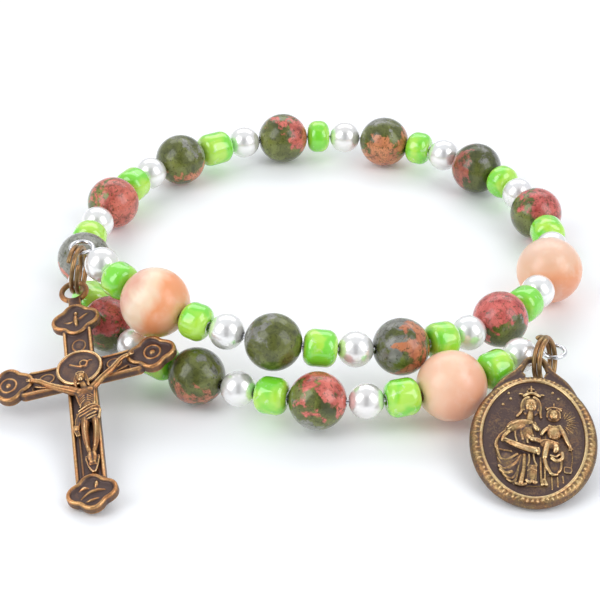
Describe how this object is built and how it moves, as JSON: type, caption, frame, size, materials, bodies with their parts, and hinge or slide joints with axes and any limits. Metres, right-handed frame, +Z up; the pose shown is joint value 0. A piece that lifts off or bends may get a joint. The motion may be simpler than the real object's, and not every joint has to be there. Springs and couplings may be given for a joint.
{
  "type": "rosary bracelet",
  "caption": "Rosary bracelet: stone, coral, pearl and green glass beads on a coil of spring wire, with a crucifix and an oval medal hung from its end loops.",
  "frame": {"origin": "the point on the surface that the bracelet lies on, under the middle of its box", "axes": "+Z up from that surface, +Y from the crucifix and the medal towards the far side of the coil, +X from the crucifix towards the medal"},
  "size_m": [0.085, 0.101, 0.0166],
  "materials": {
    "unakite": "polished, mottled olive green, salmon and grey",
    "coral": "polished, pale peach with soft bands",
    "pearl": "white pearl coat, high lustre",
    "green_glass": "opaque lime green glass with a lustre coat",
    "spring_wire": "bright drawn steel wire",
    "ring_copper": "antique copper plate",
    "cross_bronze": "antique copper, dark in the recesses, rubbed bright on the edges",
    "medal_bronze": "antique bronze, dark in the recesses, rubbed bright on the edges"
  },
  "bodies": {
    "root": {"stone_1": "unakite", "stone_2": "unakite", "stone_3": "unakite", "stone_4": "unakite", "stone_5": "unakite", "stone_6": "unakite", "stone_7": "unakite", "stone_8": "unakite", "stone_9": "unakite", "stone_10": "unakite", "stone_11": "unakite", "stone_12": "unakite", "stone_13": "unakite", "coral_1": "coral", "coral_2": "coral", "coral_3": "coral", "pearl_1": "pearl", "pearl_2": "pearl", "pearl_3": "pearl", "pearl_4": "pearl", "pearl_5": "pearl", "pearl_6": "pearl", "pearl_7": "pearl", "pearl_8": "pearl", "pearl_9": "pearl", "pearl_10": "pearl", "pearl_11": "pearl", "pearl_12": "pearl", "pearl_13": "pearl", "pearl_14": "pearl", "pearl_15": "pearl", "pearl_16": "pearl", "pearl_17": "pearl", "glass_beads": "green_glass", "wire": "spring_wire", "crucifix_ring": "ring_copper", "medal_ring": "ring_copper", "crucifix": "cross_bronze", "medal": "medal_bronze"}
  },
  "joints": []
}
